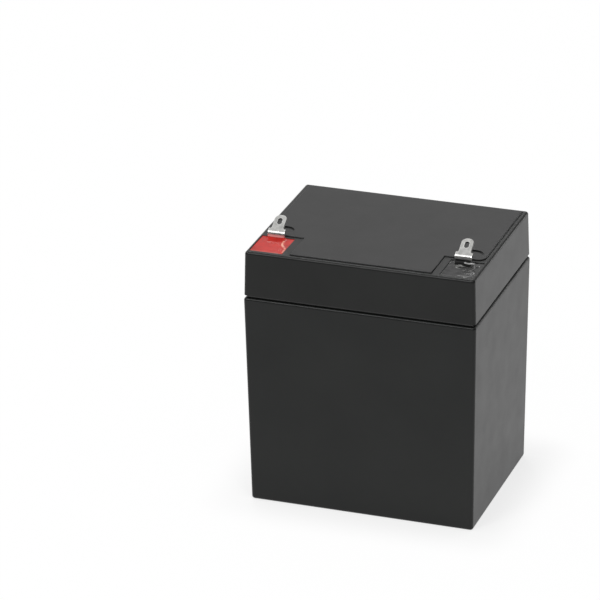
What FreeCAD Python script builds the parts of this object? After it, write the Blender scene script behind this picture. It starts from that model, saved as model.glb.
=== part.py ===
"""Sealed 12 V block battery: six cells in a drafted ABS container, with tab terminals.

Frame: +Z up, origin at the middle of the base, +X to the right along the long side, the
terminals near the front edge (-Y), positive at -X. Millimetres throughout.
"""

import FreeCAD, Part
import math
import os

import Sketcher

SIZES = [
    # the case
    ("case_width", 90.0, "case at the seam, along X"),
    ("case_depth", 70.0, "case at the seam, along Y"),
    ("case_height", 102.4, "base to the cover's top face"),
    ("lid_height", 17.4, "the lid's outer side, seam to rim"),
    ("seam_gap", 1.1, "open seam between lid and container"),
    ("seam_recess", 1.3, "seam bead behind the case's side"),
    ("container_draft", 0.85, "degrees, container's sides"),
    ("lid_draft", 1.45, "degrees, lid's sides"),
    ("lid_inset", 0.15, "lid's foot inside the container's rim"),
    ("corner_radius", 1.2, "upright outer corners"),
    ("base_radius", 1.1, "container's bottom edge"),
    ("lid_radius", 1.1, "edge of the lid's rim"),
    ("rim_radius", 1.0, "container's top edge"),
    # container walls
    ("wall", 2.7, "container wall at the rim"),
    ("partition", 1.4, "wall between cells, at the rim"),
    ("cell_draft", 0.5, "degrees, inside faces of the cells"),
    ("base_thickness", 2.5, "container's floor"),
    ("foot_rib_height", 3.0, "ribs under the plates"),
    ("foot_rib_width", 1.6, "ribs under the plates"),
    ("foot_rib_offset", 11.0, "rib to the middle of its cell"),
    ("foot_rib_root", 0.5, "rib's ends sunk in the walls"),
    ("tongue_height", 3.0, "inner wall above the outer rim"),
    ("tongue_step", 1.7, "tongue behind the case's side"),
    ("glue_gap", 0.3, "epoxy beside and over the walls"),
    # lid
    ("lip", 1.1, "lid's inner lips beside the walls"),
    ("web_rise", 5.4, "underside of the lid's web over the lid's foot"),
    ("web", 2.0, "lid's web, which the chimneys stand on"),
    ("chimney_radius", 3.5, "vent chimney"),
    ("vent_radius", 1.5, "vent hole"),
    ("vent_inset", 15.0, "chimneys to the middle of the case"),
    # top cover
    ("cover_margin", 1.95, "cover's edge to the lid's top outline"),
    ("cover_thickness", 2.0, "cover plate"),
    ("cover_rise", 0.4, "cover's top over the lid's rim"),
    ("cover_gap", 0.1, "groove round the cover"),
    ("cover_seat", 1.3, "ledge that the cover rests on"),
    ("cover_edge", 0.35, "rounding of the cover's top edge"),
    ("notch_width", 15.1, "corner notch from the cover's side"),
    ("notch_depth", 16.1, "corner notch from the cover's front"),
    ("notch_corner", 3.0, "rounding between notch and side"),
    ("relief_radius", 3.8, "round relief behind a tab"),
    ("relief_reach", 8.5, "relief's far edge behind the notch"),
    ("relief_depth", 0.4, "depth of the relief"),
    ("stop_radius", 2.6, "boss that holds a vent cap down"),
    ("stop_gap", 0.3, "boss to cap"),
    ("cap_clearance", 1.4, "cap's top to the cover's underside"),
    # terminal wells
    ("well_width", 12.8, "terminal well along X"),
    ("well_length", 14.6, "terminal well along Y"),
    ("well_wall", 1.2, "well to the lid's top outline, at the side"),
    ("well_front", 2.0, "well to the lid's top outline, at the front"),
    ("well_depth", 8.5, "well's floor below the lid's rim"),
    ("resin_drop", 0.15, "resin below the lid's rim"),
    # posts and their seals
    ("post_radius", 2.6, "lead post"),
    ("post_gap", 0.3, "post to its hole"),
    ("spigot_radius", 1.5, "post's end in the tab's hole"),
    ("spigot_rise", 0.6, "post's end above the tab's foot"),
    ("seal_wire", 1.5, "O-ring section"),
    ("seal_gap", 0.05, "O-ring in its counterbore"),
    # tabs
    ("tab_thickness", 0.8, "terminal sheet"),
    ("tab_shoulder", 6.5, "width of foot, riser and shoulder"),
    ("tab_width", 4.75, "push-on tongue"),
    ("tab_length", 6.35, "push-on tongue"),
    ("tab_neck", 0.95, "shoulder between bend and tongue"),
    ("tab_lean", 31.0, "degrees, tongue above level"),
    ("tab_bend", 1.0, "inner radius of both bends"),
    ("tab_rise", 1.1, "start of the top bend over the lid's rim"),
    ("tab_foot", 8.0, "foot, front to riser"),
    ("tab_tip", 2.1, "rounding of the tongue's tip"),
    ("tab_relief", 0.6, "fillets at the tongue's root"),
    ("tab_bevel", 0.2, "bevel round the tongue"),
    ("tab_slot_width", 1.8, "oblong hole"),
    ("tab_slot_length", 2.9, "oblong hole"),
    ("tab_slot_inset", 3.0, "hole's middle to the tip"),
    ("tab_post_inset", 4.5, "post's axis to the riser's face"),
    ("positive_shift", -0.8, "positive tab beside the middle of its well, along X"),
    ("negative_shift", -1.7, "negative tab beside the middle of its well, along X"),
    ("tab_back_gap", 0.1, "riser's back face to the well's end"),
    ("foot_depth", 5.5, "foot's underside below the lid's rim"),
    # plates and straps
    ("plate_side_gap", 0.5, "plates to the cell's side at its floor"),
    ("stack_end_gap", 0.3, "outer plates to the cell's side at its floor"),
    ("positive_plate", 2.5, "thickness"),
    ("negative_plate", 1.65, "thickness"),
    ("mat_gap", 0.05, "glass mat to the plates"),
    ("mat_overhang", 0.35, "glass mat past the plates' sides"),
    ("mat_rise", 1.6, "glass mat past the plates' top"),
    ("strap_drop", 13.0, "strap's underside below the wall tops"),
    ("strap_height", 4.5, "cast strap"),
    ("strap_width", 9.2, "cast strap"),
    ("strap_corner", 1.1, "rounding of the strap's corners"),
    ("lug_width", 6.0, "plate lug"),
    ("lug_height", 4.0, "plate lug under the strap"),
    ("lug_root", 1.0, "plate lug inside the strap"),
    ("flag_height", 9.5, "weld flag over the strap's underside"),
    ("flag_thickness", 2.0, "weld flag"),
    ("flag_gap", 0.25, "flag to its partition"),
    ("weld_radius", 3.0, "weld nugget through a partition"),
    ("weld_gap", 0.15, "nugget to its window"),
    ("weld_margin", 1.0, "nugget to the flag's top edge"),
    # rubber caps
    ("cap_wall", 1.3, "vent cap's side"),
    ("cap_roof", 1.2, "vent cap's top"),
    ("cap_gap", 0.05, "cap to chimney"),
    ("cap_skirt_gap", 0.5, "cap's foot over the web"),
    ("cap_edge", 0.4, "rounding of the cap's top edge"),
    # cutting
    ("cut_through", 6.0, "length of cuts that pass right through a sheet or partition"),
]

PLATE_COUNT = {"positive": 3, "negative": 4}
SIDES = {"positive": -1, "negative": 1}

# Sizes that follow from the ones above, each worked out once.
DERIVED = [
    ("lid_top", "Sizes.case_height - Sizes.cover_rise"),
    ("seam_level", "Derived.lid_top - Sizes.lid_height"),
    ("rim_level", "Derived.seam_level - Sizes.seam_gap"),
    ("wall_top", "Derived.rim_level + Sizes.tongue_height"),
    ("lid_shrink", "2 * (Sizes.lid_inset + Sizes.lid_height * tan(Sizes.lid_draft * 1 deg))"),
    ("top_width", "Sizes.case_width - Derived.lid_shrink"),
    ("top_depth", "Sizes.case_depth - Derived.lid_shrink"),
    # cells: two columns along X, three rows along Y
    ("cell_width", "(Sizes.case_width - 2 * Sizes.wall - Sizes.partition) / 2"),
    ("cell_depth", "(Sizes.case_depth - 2 * Sizes.wall - 2 * Sizes.partition) / 3"),
    ("column_x", "(Derived.cell_width + Sizes.partition) / 2"),
    ("row_pitch", "Derived.cell_depth + Sizes.partition"),
    ("cell_shrink", "2 * (Derived.wall_top - Sizes.base_thickness) * tan(Sizes.cell_draft * 1 deg)"),
    ("floor_depth", "Sizes.case_depth - 2 * Sizes.wall - Derived.cell_shrink"),
    # lid levels
    ("web_low", "Derived.seam_level + Sizes.web_rise"),
    ("web_high", "Derived.web_low + Sizes.web"),
    ("groove_top", "Derived.wall_top + Sizes.glue_gap"),
    ("well_floor", "Derived.lid_top - Sizes.well_depth"),
    ("resin_top", "Derived.lid_top - Sizes.resin_drop"),
    ("tongue_width", "Sizes.case_width - 2 * Sizes.tongue_step"),
    ("tongue_depth", "Sizes.case_depth - 2 * Sizes.tongue_step"),
    # cover outline
    ("cover_x", "Derived.top_width / 2 - Sizes.cover_margin"),
    ("cover_y", "Derived.top_depth / 2 - Sizes.cover_margin"),
    ("notch_x", "Derived.cover_x - Sizes.notch_width"),
    ("notch_y", "Sizes.notch_depth - Derived.cover_y"),
    ("cover_low", "Sizes.case_height - Sizes.cover_thickness"),
    ("cap_top", "Derived.cover_low - Sizes.cap_clearance"),
    ("chimney_top", "Derived.cap_top - Sizes.cap_roof"),
    # terminals
    ("well_outer_x", "Derived.top_width / 2 - Sizes.well_wall"),
    ("well_front_y", "Sizes.well_front - Derived.top_depth / 2"),
    ("well_x", "Derived.well_outer_x - Sizes.well_width / 2"),
    ("well_end_y", "Derived.well_front_y + Sizes.well_length"),
    ("riser_y", "Derived.well_end_y - Sizes.tab_thickness - Sizes.tab_back_gap"),
    ("post_y", "Derived.riser_y - Sizes.tab_post_inset"),
    ("foot_level", "Derived.lid_top - Sizes.foot_depth"),
    ("seal_bore", "Sizes.post_radius + Sizes.seal_wire + 2 * Sizes.seal_gap"),
    # plate stacks
    ("rib_top", "Sizes.base_thickness + Sizes.foot_rib_height"),
    ("plate_width", "Derived.cell_width - Derived.cell_shrink - 2 * Sizes.plate_side_gap"),
    ("stack_depth", "Derived.cell_depth - Derived.cell_shrink - 2 * Sizes.stack_end_gap"),
    ("plates_depth",
     f"{PLATE_COUNT['positive']} * Sizes.positive_plate"
     f" + {PLATE_COUNT['negative']} * Sizes.negative_plate"),
    ("plate_gap", f"(Derived.stack_depth - Derived.plates_depth) / {sum(PLATE_COUNT.values()) - 1}"),
    ("mat", "Derived.plate_gap - 2 * Sizes.mat_gap"),
    ("plate_pitch", "Sizes.positive_plate + Sizes.negative_plate + 2 * Derived.plate_gap"),
    ("plate_low", "Derived.rib_top + Derived.mat + Sizes.mat_gap"),
    ("strap_low", "Derived.wall_top - Sizes.strap_drop"),
    ("plate_high", "Derived.strap_low - Sizes.lug_height"),
    ("strap_offset", "Derived.well_x - Derived.column_x"),
    ("flag_top", "Derived.strap_low + Sizes.flag_height"),
    ("weld_level", "Derived.flag_top - Sizes.weld_radius - Sizes.weld_margin"),
    ("flag_face_y", "Derived.row_pitch / 2 - Sizes.partition / 2 - Sizes.flag_gap"),
    ("flag_face_x", "Derived.column_x - Sizes.partition / 2 - Sizes.flag_gap"),
    ("cap_radius", "Sizes.chimney_radius + Sizes.cap_gap + Sizes.cap_wall"),
]

# Cells in series: column (-1 left, 1 right), row (-1 front, 0 middle, 1 back), the side of the
# cell on which its positive strap lies (-1 or 1 along X), then the way each strap's flag faces.
CELLS = [
    (-1, -1, -1, "post", "back"),
    (-1, 0, 1, "front", "back"),
    (-1, 1, -1, "front", "centre"),
    (1, 1, -1, "centre", "front"),
    (1, 0, 1, "back", "front"),
    (1, -1, -1, "back", "post"),
]

doc = FreeCAD.newDocument("block_battery")
sheet = doc.addObject("Spreadsheet::Sheet", "Sizes")
for line, (alias, size, note) in enumerate(SIZES, start=1):
    sheet.set(f"A{line}", note)
    sheet.set(f"B{line}", str(size))
    sheet.setAlias(f"B{line}", alias)
doc.recompute()

derived = doc.addObject("App::VarSet", "Derived")
for name, formula in DERIVED:
    derived.addProperty("App::PropertyFloat", name, "Derived", formula)
    derived.setExpression(name, formula)
    doc.recompute()


def number(expression):
    """The present value of an expression, used to place geometry before it is solved."""
    found = derived.evalExpression(str(expression))
    return float(getattr(found, "Value", found))


def neg(expression):
    return f"-({expression})"


# ---------------------------------------------------------------- sketch helpers


def new_body(label):
    body = doc.addObject("PartDesign::Body", label)
    body.Label = label
    return body


def new_sketch(body, name, plane="XY_Plane", level="0", shift=None, tilt=None):
    """A sketch on one of the body's own origin planes, moved along the plane's normal by level."""
    sketch = body.newObject("Sketcher::SketchObject", name)
    support = next(f for f in body.Origin.OriginFeatures if f.Role == plane)
    sketch.AttachmentSupport = [(support, "")]
    sketch.MapMode = "FlatFace"
    if tilt:
        sketch.AttachmentOffset = FreeCAD.Placement(
            FreeCAD.Vector(0, 0, 0), FreeCAD.Rotation(FreeCAD.Vector(1, 0, 0), number(tilt))
        )
        sketch.setExpression("AttachmentOffset.Rotation.Angle", tilt)
    sketch.setExpression("AttachmentOffset.Base.z", level)
    if shift:
        sketch.setExpression("AttachmentOffset.Base.y", shift)
    return sketch


def bind(sketch, kind, *where, to):
    """A dimension of the sketch, driven by an expression."""
    index = sketch.addConstraint(Sketcher.Constraint(kind, *where, number(to)))
    sketch.setExpression(f"Constraints[{index}]", str(to))


def place_point(sketch, edge, end, x, y):
    """Ties one end of an edge to the sketch's origin by its two coordinates."""
    for kind, where in (("DistanceX", x), ("DistanceY", y)):
        bind(sketch, kind, -1, 1, edge, end, to=where)


def polygon(sketch, corners):
    """A closed outline of straight edges through corners given as pairs of expressions."""
    points = [FreeCAD.Vector(number(x), number(y), 0) for x, y in corners]
    first = len(sketch.Geometry)
    count = len(points)
    for i in range(count):
        sketch.addGeometry(Part.LineSegment(points[i], points[(i + 1) % count]), False)
    for i in range(count):
        after = first + (i + 1) % count
        sketch.addConstraint(Sketcher.Constraint("Coincident", first + i, 2, after, 1))
    for i, (x, y) in enumerate(corners):
        place_point(sketch, first + i, 1, x, y)
    return first


def rectangle(sketch, x, y, width, depth):
    """A rectangle about the middle point (x, y)."""
    left, right = f"{x} - ({width}) / 2", f"{x} + ({width}) / 2"
    low, high = f"{y} - ({depth}) / 2", f"{y} + ({depth}) / 2"
    return polygon(sketch, [(left, low), (right, low), (right, high), (left, high)])


def circle(sketch, x, y, radius):
    middle = FreeCAD.Vector(number(x), number(y), 0)
    index = sketch.addGeometry(Part.Circle(middle, FreeCAD.Vector(0, 0, 1), number(radius)), False)
    place_point(sketch, index, 3, x, y)
    bind(sketch, "Radius", index, to=radius)
    return index


def oblong(sketch, x, y, width, length):
    """A round-ended hole, its length along the sketch's Y."""
    r = number(width) / 2
    cx, cy, half = number(x), number(y), number(f"({length} - {width}) / 2")
    up, down = FreeCAD.Vector(cx, cy + half, 0), FreeCAD.Vector(cx, cy - half, 0)
    axis = FreeCAD.Vector(0, 0, 1)
    top = sketch.addGeometry(Part.ArcOfCircle(Part.Circle(up, axis, r), 0, math.pi), False)
    bottom = sketch.addGeometry(Part.ArcOfCircle(Part.Circle(down, axis, r), math.pi, 2 * math.pi), False)
    side = FreeCAD.Vector(r, 0, 0)
    left = sketch.addGeometry(Part.LineSegment(up - side, down - side), False)
    right = sketch.addGeometry(Part.LineSegment(down + side, up + side), False)
    for joint in ((top, 2, left, 1), (left, 2, bottom, 1), (bottom, 2, right, 1), (right, 2, top, 1)):
        sketch.addConstraint(Sketcher.Constraint("Tangent", *joint))
    place_point(sketch, top, 3, x, f"{y} + ({length} - {width}) / 2")
    bind(sketch, "DistanceY", -1, 1, bottom, 3, to=f"{y} - ({length} - {width}) / 2")
    bind(sketch, "Radius", top, to=f"{width} / 2")


# ---------------------------------------------------------------- feature helpers


def pad(body, name, sketch, height, down=False, draft=None):
    feature = body.newObject("PartDesign::Pad", name)
    feature.Profile = sketch
    feature.Reversed = down
    feature.setExpression("Length", height)
    if draft:
        feature.setExpression("TaperAngle", draft)
    doc.recompute()
    return feature


def pad_both(body, name, sketch, width):
    feature = body.newObject("PartDesign::Pad", name)
    feature.Profile = sketch
    feature.Midplane = True
    feature.setExpression("Length", width)
    doc.recompute()
    return feature


def pocket(body, name, sketch, depth, up=False, both=False, draft=None):
    """A pocket below its sketch, or above it with up. It has to take something away."""
    before = body.Shape.Volume
    feature = body.newObject("PartDesign::Pocket", name)
    feature.Profile = sketch
    feature.Reversed = up
    feature.Midplane = both
    feature.setExpression("Length", depth)
    if draft:
        feature.setExpression("TaperAngle", draft)
    doc.recompute()
    if not body.Shape.Volume < before:
        raise RuntimeError(f"{body.Label}: {name} cuts nothing")
    return feature


def edges_where(shape, test):
    """Names of the shape's edges whose two ends and middle satisfy the test."""
    names = []
    for index, edge in enumerate(shape.Edges, start=1):
        middle = edge.valueAt((edge.FirstParameter + edge.LastParameter) / 2)
        ends = [v.Point for v in edge.Vertexes]
        if test(edge, ends, middle):
            names.append(f"Edge{index}")
    return names


def dress(body, kind, name, base, test, size):
    """A Fillet or Chamfer on the edges of base that the test picks."""
    names = edges_where(base.Shape, test)
    feature = body.newObject(f"PartDesign::{kind}", name)
    feature.Base = (base, names)
    feature.setExpression("Radius" if kind == "Fillet" else "Size", size)
    doc.recompute()
    return feature


def upright(edge, ends, middle):
    """Edges that climb the whole side, drafted or not."""
    if len(ends) < 2:
        return False
    run = ends[1] - ends[0]
    return abs(run.z) > 4 * math.hypot(run.x, run.y) and abs(run.z) > 1


def at_level(level):
    def test(edge, ends, middle):
        return all(abs(p.z - level) < 1e-4 for p in ends + [middle])

    return test


def cell_centre(column, row):
    return f"{column} * Derived.column_x", f"{row} * Derived.row_pitch"


def cell_rectangles(sketch, grow):
    """The six cell openings at the wall tops, each larger by grow (an expression) all round."""
    for column, row, *_ in CELLS:
        x, y = cell_centre(column, row)
        rectangle(
            sketch, x, y, f"Derived.cell_width + 2 * ({grow})", f"Derived.cell_depth + 2 * ({grow})"
        )


# ---------------------------------------------------------------- container


def make_container():
    body = new_body("container")
    outline = new_sketch(body, "container_outline", level="Derived.rim_level")
    rectangle(outline, "0", "0", "Sizes.case_width", "Sizes.case_depth")
    block = pad(body, "container_block", outline, "Derived.rim_level", down=True,
                draft="-Sizes.container_draft")
    roundings = [("container_base_edge", at_level(0), "Sizes.base_radius"),
                 ("container_corners", upright, "Sizes.corner_radius")]
    # the larger goes first, since the smaller one can run round it
    roundings.sort(key=lambda rounding: number(rounding[2]), reverse=True)
    rounded = block
    for name, edges, radius in roundings:
        rounded = dress(body, "Fillet", name, rounded, edges, radius)
    dress(body, "Fillet", "container_rim", rounded, at_level(number("Derived.rim_level")),
          "Sizes.rim_radius")

    tongue = new_sketch(body, "tongue_outline", level="Derived.rim_level")
    rectangle(tongue, "0", "0", "Derived.tongue_width", "Derived.tongue_depth")
    pad(body, "tongue", tongue, "Sizes.tongue_height")

    cells = new_sketch(body, "cells", level="Derived.wall_top")
    cell_rectangles(cells, "0")
    pocket(body, "cell_cavities", cells, "Derived.wall_top - Sizes.base_thickness",
           draft="-Sizes.cell_draft")

    ribs = new_sketch(body, "foot_ribs", level="Sizes.base_thickness")
    for column in (-1, 1):
        for side in (-1, 1):
            x = f"{column} * Derived.column_x + {side} * Sizes.foot_rib_offset"
            rectangle(ribs, x, "0", "Sizes.foot_rib_width",
                      "Derived.floor_depth + 2 * Sizes.foot_rib_root")
    pad(body, "foot_rib_bars", ribs, "Sizes.foot_rib_height")
    make_weld_windows(body)
    return body


def make_weld_windows(body):
    """Round windows in the partitions, through which neighbouring straps are welded."""
    radius = "Sizes.weld_radius + Sizes.weld_gap"
    for name, row_edge, side in (("front", -1, -1), ("back", 1, 1)):
        # Between the front and middle rows the inner straps meet, behind them the outer ones.
        window = new_sketch(body, f"weld_windows_{name}", plane="XZ_Plane",
                            level=f"{-row_edge} * Derived.row_pitch / 2")
        for column in (-1, 1):
            x = f"{column} * (Derived.column_x + {side} * Derived.strap_offset)"
            circle(window, x, "Derived.weld_level", radius)
        pocket(body, f"weld_cut_{name}", window, "Sizes.cut_through", both=True)
    window = new_sketch(body, "weld_window_centre", plane="YZ_Plane")
    circle(window, "Derived.row_pitch", "Derived.weld_level", radius)
    pocket(body, "weld_cut_centre", window, "Sizes.cut_through", both=True)


# ---------------------------------------------------------------- lid


def cover_corners(gap):
    """The cover's outline, larger by gap: a rectangle with a notch at both front corners."""
    x, y = f"(Derived.cover_x + {gap})", f"(Derived.cover_y + {gap})"
    inner, step = f"(Derived.notch_x + {gap})", f"(Derived.notch_y - {gap})"
    return [
        (neg(inner), neg(y)), (inner, neg(y)), (inner, step), (x, step),
        (x, y), (neg(x), y), (neg(x), step), (neg(inner), step),
    ]


def notch_corner_test(gap):
    """The two upright edges where a notch meets the cover's side."""
    x, y = number(f"Derived.cover_x + {gap}"), number(f"Derived.notch_y - {gap}")

    def test(edge, ends, middle):
        return abs(abs(middle.x) - x) < 1e-3 and abs(middle.y - y) < 1e-3 and len(ends) == 2

    return test


def well_x(sign):
    return f"{SIDES[sign]} * Derived.well_x"


def terminal_x(sign):
    return f"{SIDES[sign]} * Derived.well_x + Sizes.{sign}_shift"


def well(sketch, sign):
    rectangle(sketch, well_x(sign), "Derived.well_front_y + Sizes.well_length / 2",
              "Sizes.well_width", "Sizes.well_length")


def make_lid():
    body = new_body("lid")
    outline = new_sketch(body, "lid_outline", level="Derived.seam_level")
    inset = "2 * Sizes.lid_inset"
    rectangle(outline, "0", "0", f"Sizes.case_width - {inset}", f"Sizes.case_depth - {inset}")
    block = pad(body, "lid_block", outline, "Sizes.lid_height", draft="-Sizes.lid_draft")
    corners = dress(body, "Fillet", "lid_corners", block, upright, "Sizes.corner_radius")
    dress(body, "Fillet", "lid_rim_edge", corners, at_level(number("Derived.lid_top")),
          "Sizes.lid_radius")

    seat = new_sketch(body, "cover_seat", level="Derived.lid_top")
    polygon(seat, cover_corners("Sizes.cover_gap"))
    seat_cut = pocket(body, "cover_seat_cut", seat, "Derived.lid_top - Derived.cover_low")
    dress(body, "Fillet", "cover_seat_corners", seat_cut, notch_corner_test("Sizes.cover_gap"),
          "Sizes.notch_corner + Sizes.cover_gap")

    chamber = new_sketch(body, "vent_chamber", level="Derived.cover_low")
    polygon(chamber, cover_corners("-Sizes.cover_seat"))
    pocket(body, "vent_chamber_cut", chamber, "Derived.cover_low - Derived.web_high")

    wells = new_sketch(body, "terminal_wells", level="Derived.lid_top")
    for sign in SIDES:
        well(wells, sign)
    pocket(body, "terminal_well_cut", wells, "Sizes.well_depth")

    headspace = new_sketch(body, "headspace", level="Derived.seam_level")
    cell_rectangles(headspace, "-Sizes.glue_gap - Sizes.lip")
    pocket(body, "headspace_cut", headspace, "Sizes.web_rise", up=True)

    groove = new_sketch(body, "wall_groove", level="Derived.seam_level")
    rectangle(groove, "0", "0", "Derived.tongue_width + 2 * Sizes.glue_gap",
              "Derived.tongue_depth + 2 * Sizes.glue_gap")
    cell_rectangles(groove, "-Sizes.glue_gap")
    pocket(body, "wall_groove_cut", groove, "Derived.groove_top - Derived.seam_level", up=True)

    chimneys = new_sketch(body, "chimneys", level="Derived.web_high")
    for x, y in vent_places():
        circle(chimneys, x, y, "Sizes.chimney_radius")
    pad(body, "chimney_tubes", chimneys, "Derived.chimney_top - Derived.web_high")
    vents = new_sketch(body, "vents", level="Derived.chimney_top")
    for x, y in vent_places():
        circle(vents, x, y, "Sizes.vent_radius")
    pocket(body, "vent_holes", vents, "Derived.chimney_top - Derived.web_low")

    for name, level, radius, depth in (
        ("post_holes", "Derived.well_floor", "Sizes.post_radius + Sizes.post_gap",
         "Derived.well_floor - Derived.web_low"),
        ("seal_seats", "Derived.well_floor", "Derived.seal_bore", "Sizes.seal_wire + Sizes.seal_gap"),
    ):
        bores = new_sketch(body, name, level=level)
        for sign in SIDES:
            circle(bores, terminal_x(sign), "Derived.post_y", radius)
        pocket(body, f"{name}_cut", bores, depth)
    return body


def vent_places():
    """Chimney axes, in the order of the cells."""
    return [(f"{column} * Sizes.vent_inset", cell_centre(column, row)[1]) for column, row, *_ in CELLS]


def make_lid_seal():
    """Epoxy: a cap over all the wall tops, a film down the tongue's side and the seam bead."""
    body = new_body("lid_seal")
    cap = new_sketch(body, "seal_cap", level="Derived.wall_top")
    groove = ("Derived.tongue_width + 2 * Sizes.glue_gap", "Derived.tongue_depth + 2 * Sizes.glue_gap")
    rectangle(cap, "0", "0", *groove)
    cell_rectangles(cap, "-Sizes.glue_gap")
    pad(body, "seal_cap_layer", cap, "Sizes.glue_gap")
    film = new_sketch(body, "seal_film", level="Derived.rim_level")
    rectangle(film, "0", "0", *groove)
    rectangle(film, "0", "0", "Derived.tongue_width", "Derived.tongue_depth")
    pad(body, "seal_film_ring", film, "Sizes.tongue_height")
    bead = new_sketch(body, "seam_bead", level="Derived.rim_level")
    inset = "2 * Sizes.seam_recess"
    rectangle(bead, "0", "0", f"Sizes.case_width - {inset}", f"Sizes.case_depth - {inset}")
    rectangle(bead, "0", "0", "Derived.tongue_width", "Derived.tongue_depth")
    pad(body, "seam_bead_ring", bead, "Sizes.seam_gap")
    return body


# ---------------------------------------------------------------- top cover and vent caps


def make_top_cover():
    body = new_body("top_cover")
    outline = new_sketch(body, "cover_outline", level="Derived.cover_low")
    polygon(outline, cover_corners("0"))
    plate = pad(body, "cover_plate", outline, "Sizes.cover_thickness")
    corners = dress(body, "Fillet", "cover_corners", plate, notch_corner_test("0"),
                    "Sizes.notch_corner")
    dress(body, "Fillet", "cover_top_edge", corners, at_level(number("Sizes.case_height")),
          "Sizes.cover_edge")
    reliefs = new_sketch(body, "tab_reliefs", level="Sizes.case_height")
    for sign in SIDES:
        circle(reliefs, well_x(sign), "Derived.notch_y + Sizes.relief_reach - Sizes.relief_radius",
               "Sizes.relief_radius")
    pocket(body, "tab_relief_cut", reliefs, "Sizes.relief_depth")
    stops = new_sketch(body, "cap_stops", level="Derived.cover_low")
    for x, y in vent_places():
        circle(stops, x, y, "Sizes.stop_radius")
    pad(body, "cap_stop_bosses", stops, "Sizes.cap_clearance - Sizes.stop_gap", down=True)
    return body


def make_vent_cap(index, x, y):
    """A thin rubber cup turned over the chimney: the cell's one-way valve."""
    body = new_body(f"vent_cap_{index}")
    profile = new_sketch(body, f"vent_cap_profile_{index}", plane="XZ_Plane")
    bore = "Sizes.chimney_radius + Sizes.cap_gap"
    foot = "Derived.web_high + Sizes.cap_skirt_gap"
    polygon(profile, [
        ("0", "Derived.chimney_top"), (bore, "Derived.chimney_top"), (bore, foot),
        ("Derived.cap_radius", foot), ("Derived.cap_radius", "Derived.cap_top"),
        ("0", "Derived.cap_top"),
    ])
    turn = body.newObject("PartDesign::Revolution", f"vent_cap_turn_{index}")
    turn.Profile = profile
    turn.ReferenceAxis = (profile, ["V_Axis"])
    turn.Angle = 360
    doc.recompute()
    dress(body, "Fillet", f"vent_cap_edge_{index}", turn, at_level(number("Derived.cap_top")),
          "Sizes.cap_edge")
    body.setExpression("Placement.Base.x", x)
    body.setExpression("Placement.Base.y", y)
    return body


# ---------------------------------------------------------------- terminals


def make_tab(sign):
    """Bent sheet terminal. Its own Y = 0 is the riser's front face, X = 0 its middle."""
    body = new_body(f"terminal_{sign}")
    side = new_sketch(body, f"tab_side_{sign}", plane="YZ_Plane")
    draw_tab_side(side)
    strip = pad_both(body, f"tab_strip_{sign}", side, "Sizes.tab_shoulder")

    bend_y, bend_z = "(Sizes.tab_thickness + Sizes.tab_bend)", "(Derived.lid_top + Sizes.tab_rise)"
    plan = new_sketch(body, f"tab_plan_{sign}", level=bend_z, shift=bend_y, tilt="Sizes.tab_lean")
    draw_tongue_waste(plan)
    tongue = pocket(body, f"tongue_cut_{sign}", plan, "Sizes.cut_through", both=True)
    lean = math.radians(number("Sizes.tab_lean"))
    along = FreeCAD.Vector(0, math.cos(lean), math.sin(lean))
    centre = FreeCAD.Vector(0, number(bend_y), number(bend_z))
    root = number("Sizes.tab_neck + Sizes.tab_relief")

    def round_the_tongue(edge, ends, middle):
        """The tongue's outline on both faces of the sheet, beyond its root."""
        if len(ends) < 2 or any((p - centre).dot(along) < root - 1e-4 for p in ends):
            return False
        normal = FreeCAD.Vector(0, -math.sin(lean), math.cos(lean))
        return abs((ends[1] - ends[0]).dot(normal)) < 1e-4

    bevel = dress(body, "Chamfer", f"tongue_bevel_{sign}", tongue, round_the_tongue,
                  "Sizes.tab_bevel")
    slot = new_sketch(body, f"tab_slot_{sign}", level=bend_z, shift=bend_y, tilt="Sizes.tab_lean")
    oblong(slot, "0", "Sizes.tab_neck + Sizes.tab_length - Sizes.tab_slot_inset",
           "Sizes.tab_slot_width", "Sizes.tab_slot_length")
    pocket(body, f"tab_slot_cut_{sign}", slot, "Sizes.cut_through", both=True)
    hole = new_sketch(body, f"foot_hole_{sign}", level="Derived.foot_level")
    circle(hole, "0", "-Sizes.tab_post_inset", "Sizes.spigot_radius")
    pocket(body, f"foot_hole_cut_{sign}", hole, "Sizes.cut_through", both=True)
    body.setExpression("Placement.Base.x", terminal_x(sign))
    body.setExpression("Placement.Base.y", "Derived.riser_y")
    return body


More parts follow.
